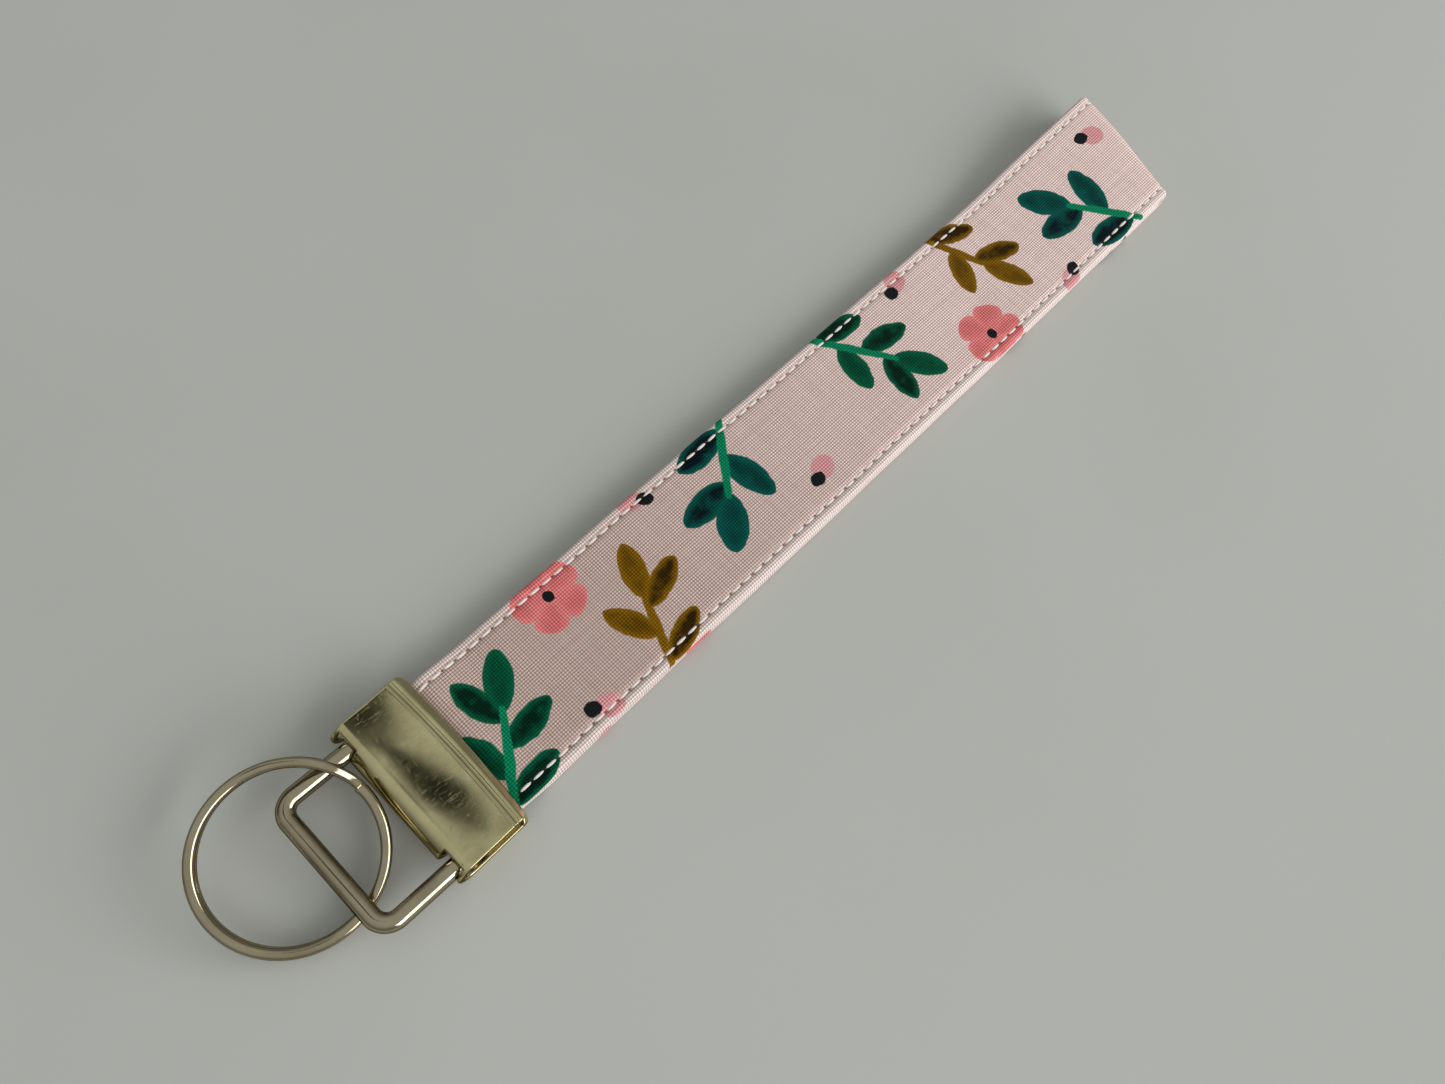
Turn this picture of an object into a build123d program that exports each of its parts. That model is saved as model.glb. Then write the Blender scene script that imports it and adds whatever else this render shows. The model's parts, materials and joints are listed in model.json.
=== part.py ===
from build123d import *
import math
import os

# Wristlet keychain: a flat fabric loop whose two ends are crimped in a folded metal clamp,
# a rectangular wire bail in the clamp's fold, and a two-turn split ring on the bail.
# Frame, in millimetres: +X from the clamp to the far end of the loop, +Y across the strap,
# +Z up. The origin is the middle of the clamp's underside, on the surface it lies on.

# Clamp: one sheet, folded round the bail at -X and turned in at both lips at +X
CLAMP_WIDTH = 26.0
CLAMP_HEIGHT = 5.5
SHEET = 0.8
NOSE_X = -5.4
LIP_BEND_X = 5.4
LIP_DROP = 1.15
LIP_BEND_RADIUS = 0.9
LEG_SLOT_WIDTH = 3.7
LEG_SLOT_TOP = 4.8

# Bail: round wire bent to a rectangle, its two ends butted inside the clamp's fold
BAIL_WIRE = 2.6
BAIL_LEG_SPACING = 21.2
BAIL_LENGTH = 13.0
BAIL_OUTER_CORNER = 2.5
BAIL_HIDDEN_CORNER = 1.5
BAIL_BUTT_GAP = 0.3
BAIL_TILT = 7.47
BAIL_SHIFT = -0.45

# Split ring: two turns of one flattened wire, leaning on the bail's leg and under its bar
RING_OUTER_RADIUS = 12.4
RING_WIRE_RADIAL = 1.4
RING_WIRE_AXIAL = 1.3
RING_COIL_GAP = 0.06
RING_WIRE_ROUND = 0.5
RING_CROSSING_ANGLE = 24.0
RING_CROSSING_HEADING = 30.0
RING_CENTRE = (-18.05, 4.29, 4.4)
RING_DIP = 14.75
RING_DIP_HEADING = -98.7

# Strap: printed cotton folded round a webbing core, then doubled back as a loop
STRAP_WIDTH = 23.0
LAYER = 1.5
COVER_SKIN = 0.4
CORE_WIDTH = 21.8
CORE_START_GAP = 1.5
MOUTH_GAP = 0.04
TOP_GAP = 0.4
TABLE_RUN_X = 18.0
TABLE_BEND_RADIUS = 24.0
MOUTH_BEND_RADIUS = 6.0
FAR_END_X = 161.2
FAR_END_HEIGHT = 5.8
FAR_RISE_LENGTH = 26.0
FAR_RISE_RADIUS = 80.0
FOLD_FULLNESS = 0.93
LIP_GAP = 0.25

# The strap's two ends, held between the clamp's plates
HELD_END_X = -0.6
HELD_CLEARANCE = 0.05
HELD_BEND_RADIUS = 0.6

# Topstitching: a row along each edge, needle thread outside the loop, bobbin thread inside
STITCH_Y = 9.9
THREAD_WIDTH = 0.4
THREAD_DEPTH = 0.26
THREAD_RECESS = 0.05
THREAD_START_GAP = 2.0

MID_Z = CLAMP_HEIGHT / 2
NOSE_RADIUS = CLAMP_HEIGHT / 2
NOSE_CENTRE_X = NOSE_X + NOSE_RADIUS
LIP_TIP_X = LIP_BEND_X + LIP_DROP
MOUTH_X = LIP_TIP_X + SHEET / 2 * math.sin(math.radians(45))
STRAP_START_X = MOUTH_X + LIP_GAP
FLEX_X = STRAP_START_X + LAYER
SIDES = {"left": 1, "right": -1}


def slab(profile, width, centre_y=0.0):
    """A side-view profile made solid across the strap."""
    return Pos(0, centre_y, 0) * extrude(Plane.XZ * profile, amount=width / 2, both=True)


def clamp_profile():
    """The clamp's sheet from the side: two plates, the round fold and the turned-in lips."""
    top = CLAMP_HEIGHT - SHEET / 2
    bottom = SHEET / 2
    upper_lip = (LIP_TIP_X, top - LIP_DROP)
    lower_lip = (LIP_TIP_X, bottom + LIP_DROP)
    upper = FilletPolyline(upper_lip, (LIP_BEND_X, top), (NOSE_CENTRE_X, top), radius=LIP_BEND_RADIUS)
    lower = FilletPolyline(lower_lip, (LIP_BEND_X, bottom), (NOSE_CENTRE_X, bottom), radius=LIP_BEND_RADIUS)
    fold = ThreePointArc((NOSE_CENTRE_X, top), (NOSE_X + SHEET / 2, MID_Z), (NOSE_CENTRE_X, bottom))
    return trace(Curve() + [upper, fold, lower], line_width=SHEET)


def make_clamp_shell():
    """The folded clamp, with a slot for each leg of the bail, open at the underside of the fold."""
    shell = slab(clamp_profile(), CLAMP_WIDTH)
    slot = Box(2 * NOSE_RADIUS, LEG_SLOT_WIDTH, 2 * LEG_SLOT_TOP)
    for side in SIDES.values():
        shell -= Pos(NOSE_X, side * BAIL_LEG_SPACING / 2, 0) * slot
    return shell


def make_bail():
    """The bail at rest, propped up by the ring: a rectangle of wire with a butt joint."""
    half = BAIL_LEG_SPACING / 2
    start = BAIL_BUTT_GAP / 2
    path = FilletPolyline(
        (0, start),
        (0, half),
        (-BAIL_LENGTH, half),
        (-BAIL_LENGTH, -half),
        (0, -half),
        (0, -start),
        radius=[BAIL_HIDDEN_CORNER, BAIL_OUTER_CORNER, BAIL_OUTER_CORNER, BAIL_HIDDEN_CORNER],
    )
    section = Plane(origin=(0, start, 0), z_dir=(0, 1, 0)) * Circle(BAIL_WIRE / 2)
    flat = sweep(section, path=path)
    return Pos(NOSE_CENTRE_X, BAIL_SHIFT, MID_Z) * Rot(0, BAIL_TILT, 0) * flat


def make_split_ring():
    """Two flat turns parted by a thin gap, joined where the wire crosses from one to the other."""
    height = 2 * RING_WIRE_AXIAL + RING_COIL_GAP
    middle = RING_OUTER_RADIUS - RING_WIRE_RADIAL / 2
    lift = (RING_WIRE_AXIAL + RING_COIL_GAP) / 2
    coil = RectangleRounded(RING_WIRE_RADIAL, RING_WIRE_AXIAL, RING_WIRE_ROUND)
    turns = [revolve(Plane.XZ * Pos(middle, z) * coil, Axis.Z) for z in (-lift, lift)]
    # The crossing fills the gap between the turns over a short arc
    bridge = Rectangle(RING_WIRE_RADIAL - 2 * RING_WIRE_ROUND, height - RING_WIRE_AXIAL)
    crossing = revolve(Plane.XZ * Pos(middle, 0) * bridge, Axis.Z, RING_CROSSING_ANGLE)
    ring = turns[0] + turns[1] + crossing
    # Each turn ends in a cut beside the crossing
    end_cut = Box(2 * RING_WIRE_RADIAL, 5 * RING_COIL_GAP, RING_WIRE_AXIAL + RING_COIL_GAP)
    for angle, z in ((RING_CROSSING_ANGLE, -lift), (0, lift)):
        ring -= Rot(0, 0, angle) * Pos(middle, 0, z) * end_cut
    dip = Rot(0, 0, RING_DIP_HEADING) * Rot(0, RING_DIP, 0) * Rot(0, 0, -RING_DIP_HEADING)
    return Pos(*RING_CENTRE) * dip * Rot(0, 0, RING_CROSSING_HEADING) * ring


def loop_corners():
    """The middle line of the strap's loop from the side, as (x, z, radius, turns outward) corners.

    It leaves the mouth under its other end, lies along the table, turns up and back round the
    far fold, and comes back on top of itself. A bend outward has its centre outside the loop.
    """
    half = LAYER / 2
    near_low = MID_Z - half - MOUTH_GAP / 2
    near_high = MID_Z + half + MOUTH_GAP / 2
    top = half + LAYER + TOP_GAP
    fold = FOLD_FULLNESS * (FAR_END_HEIGHT - LAYER) / 2
    return [
        (STRAP_START_X, near_low, 0, False),
        (FLEX_X, near_low, MOUTH_BEND_RADIUS, True),
        (TABLE_RUN_X, half, TABLE_BEND_RADIUS, False),
        (FAR_END_X - half, half, fold, False),
        (FAR_END_X - half, FAR_END_HEIGHT - half, fold, False),
        (FAR_END_X - FAR_RISE_LENGTH, top, FAR_RISE_RADIUS, True),
        (TABLE_RUN_X, top, TABLE_BEND_RADIUS, True),
        (FLEX_X, near_high, MOUTH_BEND_RADIUS, False),
        (STRAP_START_X, near_high, 0, False),
    ]


def loop_line(distance):
    """The loop's middle line moved outward by distance."""
    corners = loop_corners()
    places = [Vector(x, z) for x, z, radius, outward in corners]
    headings = [(b - a).normalized() for a, b in zip(places, places[1:])]
    headings = [headings[0], *headings, headings[-1]]
    moved = []
    for place, before, after in zip(places, headings, headings[1:]):
        across = (before + after).normalized()
        stretch = distance / across.dot(after)
        moved.append(place + Vector(across.Y, -across.X) * stretch)
    radii = [radius - distance if outward else radius + distance for x, z, radius, outward in corners[1:-1]]
    return FilletPolyline(*moved, radius=radii)


def loop_band(inner, outer):
    """The side view of the loop between two distances from its middle line."""
    near = loop_line(inner)
    far = loop_line(outer)
    return make_face(Curve() + [near, far, Line(near @ 0, far @ 0), Line(near @ 1, far @ 1)])


def strap_part(inner, outer, width, start_x, centre_y=0.0):
    """A band of the loop, cut square at start_x."""
    band = slab(loop_band(inner, outer), width, centre_y)
    depth = start_x - STRAP_START_X
    return band - Pos(STRAP_START_X, 0, MID_Z) * Box(2 * depth, 2 * STRAP_WIDTH, 2 * CLAMP_HEIGHT)


def make_loop():
    """The loop past the flexing point: cover, core and the four threads of the topstitching."""
    half = LAYER / 2
    band = slab(loop_band(-half, half), STRAP_WIDTH)
    near_end = Box(2 * LAYER, 2 * STRAP_WIDTH, 2 * CLAMP_HEIGHT) - Pos(LAYER, 0, 0) * Rot(90, 0, 0) * Cylinder(
        LAYER + MOUTH_GAP / 2, 2 * STRAP_WIDTH
    )
    core_half = half - COVER_SKIN
    core = strap_part(-core_half, core_half, CORE_WIDTH, STRAP_START_X + CORE_START_GAP)
    cover = band - Pos(STRAP_START_X, 0, MID_Z) * near_end - core
    parts = {"core_loop": core}
    start = STRAP_START_X + THREAD_START_GAP
    for side, sign in SIDES.items():
        for kind, face in (("needle", 1), ("bobbin", -1)):
            groove = sorted((face * (half - THREAD_DEPTH), face * (half + THREAD_RECESS)))
            strand = sorted((face * (half - THREAD_DEPTH), face * (half - THREAD_RECESS)))
            cover -= strap_part(*groove, THREAD_WIDTH, start, sign * STITCH_Y)
            parts[f"{kind}_thread_{side}"] = strap_part(*strand, THREAD_WIDTH, start, sign * STITCH_Y)
    parts["cover_loop"] = cover
    return parts


def make_held_ends():
    """The strap's two ends between the plates, one on the other, narrowed by the lips."""
    low = SHEET + HELD_CLEARANCE
    lip_half_angle = math.radians(22.5)
    bend_x = LIP_BEND_X - (SHEET / 2 + HELD_CLEARANCE) * math.tan(lip_half_angle)
    tip_low = SHEET / 2 + LIP_DROP + SHEET / 2 * math.cos(2 * lip_half_angle) + HELD_CLEARANCE
    tip_x = bend_x + tip_low - low
    rise = FilletPolyline((HELD_END_X, low), (bend_x, low), (tip_x, tip_low), radius=HELD_BEND_RADIUS)
    rest = Polyline((tip_x, tip_low), (MOUTH_X, tip_low), (MOUTH_X, MID_Z), (HELD_END_X, MID_Z), (HELD_END_X, low))
    lower_end = slab(make_face(Curve() + [rise, rest]), STRAP_WIDTH)
    core_height = MID_Z - low - 2 * COVER_SKIN
    core_length = bend_x - HELD_BEND_RADIUS - HELD_END_X
    core_place = Pos(HELD_END_X + core_length / 2, 0, (low + MID_Z) / 2)
    lower_core = core_place * Box(core_length, CORE_WIDTH, core_height)
    lower_cover = lower_end - lower_core
    middle = Plane.XY.offset(MID_Z)
    return {
        "cover_ends": Compound([*lower_cover.solids(), *mirror(lower_cover, middle).solids()]),
        "core_ends": Compound([*lower_core.solids(), *mirror(lower_core, middle).solids()]),
    }


def make_parts():
    return {
        "clamp_shell": make_clamp_shell(),
        "bail": make_bail(),
        "split_ring": make_split_ring(),
        **make_held_ends(),
        **make_loop(),
    }


if __name__ == "__main__":
    os.makedirs("parts", exist_ok=True)
    for name, shape in make_parts().items():
        export_step(shape, f"parts/{name}.step")
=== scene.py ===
import json
import math

import bpy
import numpy as np
from mathutils import Matrix, Vector


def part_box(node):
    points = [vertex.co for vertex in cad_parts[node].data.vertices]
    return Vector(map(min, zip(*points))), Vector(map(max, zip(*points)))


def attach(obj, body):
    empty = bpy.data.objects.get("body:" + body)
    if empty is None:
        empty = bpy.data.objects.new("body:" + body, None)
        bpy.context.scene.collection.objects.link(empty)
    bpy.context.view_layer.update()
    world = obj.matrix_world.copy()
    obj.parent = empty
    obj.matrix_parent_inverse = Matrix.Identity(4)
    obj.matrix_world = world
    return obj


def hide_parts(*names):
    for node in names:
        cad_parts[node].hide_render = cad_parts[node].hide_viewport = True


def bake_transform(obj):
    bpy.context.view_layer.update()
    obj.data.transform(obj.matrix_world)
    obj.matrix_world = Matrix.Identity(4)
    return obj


# Wristlet keychain, looks only. Sizes here are in millimetres in the row frame, and every mesh is
# scaled to metres when it is made. Places come from the CAD frame's boxes and joints.
MM = 0.001
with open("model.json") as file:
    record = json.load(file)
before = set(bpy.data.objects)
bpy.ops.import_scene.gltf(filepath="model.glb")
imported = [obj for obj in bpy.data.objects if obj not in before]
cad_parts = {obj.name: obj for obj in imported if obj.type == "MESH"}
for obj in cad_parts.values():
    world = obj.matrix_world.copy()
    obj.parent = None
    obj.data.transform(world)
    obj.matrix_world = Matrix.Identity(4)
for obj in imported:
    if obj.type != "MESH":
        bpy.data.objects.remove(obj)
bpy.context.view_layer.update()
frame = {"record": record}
rng = np.random.default_rng(7)


def node_box(node):
    """A CAD node's lowest and highest corner in millimetres."""
    low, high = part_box(node)
    return np.array(low) / MM, np.array(high) / MM


def joint_place(name):
    """A joint's point in millimetres."""
    joints = frame["record"]["behaviour"]["joints"]
    return np.array(next(j["pos_m"] for j in joints if j["name"] == name)) / MM


CLAMP_LOW, CLAMP_HIGH = node_box("clamp_shell")
BAIL_LOW, BAIL_HIGH = node_box("bail")
RING_LOW, RING_HIGH = node_box("split_ring")
COVER_LOW, COVER_HIGH = node_box("cover_loop")
HELD_LOW, HELD_HIGH = node_box("cover_ends")
PIVOT = joint_place("bail_hinge")
BAR = joint_place("ring_swing")

# Clamp
CLAMP_HALF = CLAMP_HIGH[1]
CLAMP_TALL = CLAMP_HIGH[2]
MID_Z = CLAMP_TALL / 2
SHEET = 0.8
NOSE_X = CLAMP_LOW[0]
LIP_BEND_X = 5.4
LIP_RUN = CLAMP_HIGH[0] - LIP_BEND_X
LIP_SLOPE = 0.82
LIP_UNEVEN = 0.25
LIP_ROUND = 0.28
DOME = 0.16
BEAD_X, BEAD_TALL, BEAD_WIDE = 4.62, 0.13, 0.15
GROOVE_X, GROOVE_DEEP, GROOVE_WIDE = 4.98, 0.09, 0.13
MOUTH_BOW = 0.35
WORN = 0.15
SLOT_HALF = 1.85
SLOT_TOP = 4.8
LEG_SPACING = 21.2

# Bail and ring
BAIL_WIRE = 2.6
BAIL_LENGTH = float(np.hypot(BAR[0] - PIVOT[0], BAR[2] - PIVOT[2]))
BAIL_CORNER = 2.5
# The corners inside the fold, and half the gap between the wire's two ends there
HIDDEN_CORNER = 1.5
BUTT_GAP = 0.15
BAIL_SHIFT = (BAIL_LOW[1] + BAIL_HIGH[1]) / 2
RING_CENTRE = (RING_LOW + RING_HIGH) / 2
RING_RADIUS = (RING_HIGH[0] - RING_LOW[0]) / 2
RING_WIRE = (1.4, 1.3)
RING_GAP = 0.08
RING_DIP = math.radians(14.75)
RING_DIP_AXIS = (0.9885, -0.1513, 0.0)
RING_CROSSING = 24.0
RING_CROSSING_HEADING = 17.0

# Strap
STRAP_HALF = (COVER_HIGH[1] - COVER_LOW[1]) / 2
LAYER = 1.5
COTTON = 0.4
HELD_X = HELD_LOW[0]
MOUTH_X = HELD_HIGH[0]
FAR_X = 160.3
FAR_SKEW = 2.0
FAR_TALL = 5.8
FAR_TALL_SKEW = 1.5
STITCH_Y = 9.9
STITCH_LENGTH = 2.25
STITCH_ROWS = ((STITCH_Y, 0.0), (-STITCH_Y, 0.9))
# Where the stitching starts, and the length of one repeat of the print
STITCH_FROM = 5.6
REPEAT = 82.5
WARP_PITCH, WEFT_PITCH = 0.43, 0.41

# Stage. The table lies a hair under the clamp's bead, so that no two faces share one plane
TABLE_Z = -0.14
TABLE_HALF = 900.0
TABLE_POLISH = 0.011
WINDOW_AWAY = 1500
WINDOW_SIZE = (2500, 950)
WINDOW_POWER = 30.9


def smooth(value, low, high):
    """0 below low, 1 above high, and a smooth step between."""
    t = np.clip((np.asarray(value, float) - low) / (high - low), 0, 1)
    return t * t * (3 - 2 * t)


def bump(value, centre, width):
    return np.exp(-(((np.asarray(value, float) - centre) / width) ** 2))


def make_mesh(name, points, faces, places=None):
    """A smooth-shaded object from points in millimetres. places is a vector for each face corner."""
    mesh = bpy.data.meshes.new(name)
    mesh.from_pydata((np.asarray(points) * MM).tolist(), [], faces)
    mesh.shade_smooth()
    if places is not None:
        attribute = mesh.attributes.new("place", "FLOAT_VECTOR", "CORNER")
        attribute.data.foreach_set("vector", np.asarray(places, np.float32).ravel())
    mesh.update()
    thing = bpy.data.objects.new(name, mesh)
    bpy.context.scene.collection.objects.link(thing)
    return thing


def grid_faces(rows, columns, first=0, wrap_columns=False, flip=False):
    """Quads over a grid of points stored row by row."""
    faces = []
    for i in range(rows - 1):
        for j in range(columns if wrap_columns else columns - 1):
            k = (j + 1) % columns
            quad = (i * columns + j, (i + 1) * columns + j, (i + 1) * columns + k, i * columns + k)
            faces.append(tuple(first + q for q in (quad[::-1] if flip else quad)))
    return faces


# ---------------------------------------------------------------- strap


def strap_lines(across, step):
    """The strap's middle line for each place across it, from the clamp, round the loop and back.

    Returns x, z, thickness and the distance along, one row per step along and one column per place
    across. The loop is folded a little askew, so the lines differ in length.
    """
    lines = []
    for y in across:
        share = y / STRAP_HALF
        far_x = FAR_X + FAR_SKEW * share + 0.25 * math.sin(2.1 * share + 0.6)
        tall = FAR_TALL + FAR_TALL_SKEW * share
        # The top layer: between the plates, through the lips, along the bottom layer and up
        reach = far_x - 0.42 * tall
        near, far = np.arange(HELD_X, 20, 0.25), np.linspace(119, reach, 70)
        x = np.concatenate([near, np.linspace(20, 118, 90), far])
        thick = LAYER + 0.35 * (1 - smooth(x, 3.5, 5.0)) - 0.66 * bump(x, MOUTH_X - 0.1, 1.1)
        top = 1.5 * LAYER + 0.4 + 0.03 * np.sin(x / 9 + share)
        pressed = MID_Z + thick / 2 + 0.03
        rise = (tall - 0.5 * LAYER - top) * smooth(x, 128 - 4 * share, far_x + 4)
        high = pressed + (top + rise - pressed) * smooth(x, MOUTH_X + 0.4, 15)
        low = 0.5 * LAYER + (MID_Z - thick / 2 - 0.03 - 0.5 * LAYER) * (1 - smooth(x, MOUTH_X + 0.2, 12.5))
        low = np.minimum(low, high - thick - 0.02)
        # The far fold is a little pear-shaped, and sits on the table
        turn = np.linspace(0, math.pi, 40)[1:-1]
        middle, half = (high[-1] + low[-1]) / 2, (high[-1] - low[-1]) / 2
        bow = far_x - LAYER / 2 - reach
        fold_x = reach + bow * np.sin(turn) ** 0.9
        fold_z = middle + half * np.cos(turn)
        line_x = np.concatenate([x, fold_x, x[::-1]])
        line_z = np.concatenate([high, fold_z, low[::-1]])
        line_t = np.concatenate([thick, np.full(len(turn), LAYER), thick[::-1]])
        lines.append((line_x, line_z, line_t))
    middle = lines[len(across) // 2]
    length = float(np.hypot(np.diff(middle[0]), np.diff(middle[1])).sum())
    count = int(length / step)
    shares = np.linspace(0, 1, count)
    columns = []
    for x, z, t in lines:
        run = np.concatenate([[0], np.cumsum(np.hypot(np.diff(x), np.diff(z)))])
        at = shares * run[-1]
        columns.append([np.interp(at, run, v) for v in (x, z, t)] + [at + HELD_X])
    return (np.array([c[k] for c in columns]).T for k in range(4))


def across_and_fullness(fine):
    """Places across the strap from +Y to -Y, each with its fullness from 0 at the edge to 1, and
    the distance across measured round the rolled edge."""
    roll = 0.7
    turns = np.linspace(0, math.pi / 2, 7 if fine else 4)
    edge_y = STRAP_HALF - roll + roll * np.cos(turns)
    edge_f = np.sin(turns)
    edge_v = STRAP_HALF - roll + roll * (math.pi / 2 - turns)
    if fine:
        by_stitches, beside = np.arange(10.6, 9.2, -0.14), np.arange(9.1, 7.4, -0.4)
        inside = np.concatenate([by_stitches, beside, np.linspace(7.2, 0, 9)])
    else:
        inside = np.linspace(10.4, 0, 8)
    y = np.concatenate([edge_y, inside])
    f = np.concatenate([edge_f, np.ones(len(inside))])
    v = np.concatenate([edge_v, inside])
    return (np.concatenate([s, m * s[-2::-1]]) for s, m in ((y, -1), (f, 1), (v, -1)))


def stitch_dips(along, across):
    """How far the topstitching draws the cloth in: a groove, and a pit at each needle hole."""
    pits = 0.0
    for row, phase in STITCH_ROWS:
        step = (along - phase) / STITCH_LENGTH
        near_hole = np.exp(-(((step - np.round(step)) * STITCH_LENGTH / 0.3) ** 2))
        pits = pits + 0.26 * bump(across, row, 0.45) + 0.22 * near_hole * bump(across, row, 0.27)
        # Small puckers in the margin outside the row
        margin = smooth(np.abs(across), STITCH_Y + 0.2, STITCH_Y + 0.9) * (np.sign(across) == np.sign(row))
        pits = pits + 0.05 * near_hole * margin
    return pits


def cloth_waves(along, across):
    """Soft unevenness of the laid strap, in millimetres."""
    waves = 0.05 * np.sin(along / 3.3 + 0.35 * across) * np.sin(along / 17 + 1.3)
    waves += 0.05 * np.sin(along / 6.1 - 0.22 * across + 1.0) * np.sin(along / 23)
    near_mouth = 0.07 * np.exp(-(((along - 14) / 9) ** 2))
    waves += near_mouth * np.sin(along / 1.15 + 0.3 * across + 1.5 * np.sin(across / 4))
    return waves


def sway(along):
    """How far the strap strays sideways between the clamp and the far fold."""
    stray = 0.12 * np.sin(along / 21) + 0.05 * np.sin(along / 7.3 + 1) + 0.03 * np.sin(along / 3.1)
    return stray * smooth(along, MOUTH_X, 20) * (1 - smooth(along, 2 * FAR_X - 20, 2 * FAR_X))


def free_of_clamp(along, end):
    """0 on the ends held inside the clamp, and 1 past the mouth."""
    held = smooth(along, MOUTH_X - 1, MOUTH_X + 3)
    return held * (1 - smooth(along - end, -MOUTH_X - 4, -MOUTH_X))


def strap_band(step, fine, width_share, depth, dips):
    """A closed band along the strap's line: its points, faces and places on the cloth."""
    y, fullness, v = across_and_fullness(fine)
    y = y * width_share
    x, z, thick, s = strap_lines(y, step)
    run_x, run_z = np.gradient(x, axis=0), np.gradient(z, axis=0)
    size = np.hypot(run_x, run_z)
    out_x, out_z = -run_z / size, run_x / size
    across, end = y[None, :], s[-1]
    y_all = across + sway(s)
    layers = []
    for face in (1, -1):
        lift = 0.0
        if dips:
            lift = free_of_clamp(s, end) * (face * cloth_waves(s, across) - 0.8 * stitch_dips(s, across))
        offset = face * (depth(thick) + lift) * fullness[None, :]
        # The cloth lies flat where the table holds it
        layers.append(np.stack([x + out_x * offset, y_all, np.maximum(z + out_z * offset, 0)], axis=2))
    rows, columns = x.shape
    outer, inner = layers[0], layers[1][:, ::-1]
    # The middle of each edge is shared by both faces
    ring = np.concatenate([outer, inner[:, 1:-1]], axis=1)
    count = ring.shape[1]
    faces = grid_faces(rows, count, wrap_columns=True)
    # The cloth's print runs round both edges and meets at the middle of the inside face
    edge = v[0]
    turn = [(v[j], v[j + 1], 0.0) for j in range(columns - 1)]
    for j in range(columns - 1, 0, -1):
        far = math.copysign(2 * edge, v[j] + v[j - 1])
        turn.append((far - v[j], far - v[j - 1], 1.0))
    there = np.concatenate([s, s[:, -2:0:-1]], axis=1)
    following = np.roll(there, -1, axis=1)
    places = np.zeros((rows - 1, count, 4, 3))
    places[:, :, :, 0] = np.stack([there[:-1], there[1:], following[1:], following[:-1]], axis=2)
    places[:, :, :, 1] = np.array([(a, a, b, b) for a, b, face in turn])
    places[:, :, :, 2] = np.array([face for a, b, face in turn])[:, None]
    places = places.reshape(-1, 3).tolist()
    for row, flip in ((0, False), (rows - 1, True)):
        first = row * count
        under = [0] + [count - k for k in range(1, columns - 1)] + [columns - 1]
        for a in range(columns - 1):
            quad = [a, a + 1, under[a + 1], under[a]]
            quad = [first + q for n, q in enumerate(quad) if q not in quad[:n]]
            faces.append(tuple(quad[::-1] if flip else quad))
            places += [(s[row, a], v[a], 0.0)] * len(quad)
    return ring.reshape(-1, 3), faces, places, end[columns // 2]


def make_cover():
    """The printed cotton: an outside with its stitched grooves, and a plain inside round the core."""
    points, faces, places, end = strap_band(0.3, True, 1.0, lambda t: t / 2, True)
    hollow, hollow_faces, hollow_places, _ = strap_band(
        1.5, False, 0.95, lambda t: np.maximum(t / 2 - COTTON, 0.12), False
    )
    # The hollow stops short of the cut ends
    hollow[:, 0] = np.maximum(hollow[:, 0], HELD_X + COTTON)
    shifted = [tuple(len(points) + k for k in face[::-1]) for face in hollow_faces]
    return make_mesh(
        "strap_cover",
        np.concatenate([points, hollow]),
        faces + shifted,
        places + hollow_places,
    ), end


def make_core():
    points, faces, places, _ = strap_band(
        1.5, False, 0.94, lambda t: np.maximum(t / 2 - COTTON - 0.04, 0.08), False
    )
    points[:, 0] = np.maximum(points[:, 0], HELD_X + COTTON + 0.05)
    return make_mesh("strap_core", points, faces, places)


def make_stitches(name, row, phase, face):
    """One row of topstitching: a short bowed length of thread for each stitch."""
    x, z, thick, along = (line[:, 0] for line in strap_lines(np.array([row]), 0.2))
    end = along[-1]
    run_x, run_z = np.gradient(x), np.gradient(z)
    size = np.hypot(run_x, run_z)
    out_x, out_z = -run_z / size, run_x / size
    sides, stations = 8, 9
    points, faces = [], []
    first = math.ceil((STITCH_FROM - phase) / STITCH_LENGTH)
    last = math.floor((end - STITCH_FROM - phase) / STITCH_LENGTH)
    for number in range(first, last):
        start = phase + number * STITCH_LENGTH
        tilt = rng.normal(0, 0.05)
        swell = rng.uniform(0.92, 1.1)
        base = len(points)
        for k in range(stations):
            t = k / (stations - 1)
            s = start + STITCH_LENGTH * (0.10 + 0.80 * t)
            at = [np.interp(s, along, line) for line in (x, z, thick, out_x, out_z)]
            ease, stray = float(free_of_clamp(s, end)), float(sway(s))
            arch = math.sin(math.pi * t)
            lift = at[2] / 2 + ease * (face * float(cloth_waves(s, row)) - 0.2) + 0.17 * arch**0.6 - 0.17
            radius = 0.21 * swell * (0.55 + 0.45 * arch**0.5)
            for m in range(sides):
                angle = 2 * math.pi * m / sides
                aside = 1.15 * radius * math.cos(angle) + tilt * (t - 0.5)
                out = face * (lift + 0.75 * radius * math.sin(angle))
                points.append((at[0] + at[3] * out, row + stray + aside, at[1] + at[4] * out))
        faces += grid_faces(stations, sides, base, wrap_columns=True, flip=face > 0)
        for end_row, flip in ((0, face > 0), (stations - 1, face < 0)):
            cap = [base + end_row * sides + m for m in range(sides)]
            faces.append(tuple(cap[::-1] if flip else cap))
    return make_mesh(name, points, faces)


# ---------------------------------------------------------------- metal


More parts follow.
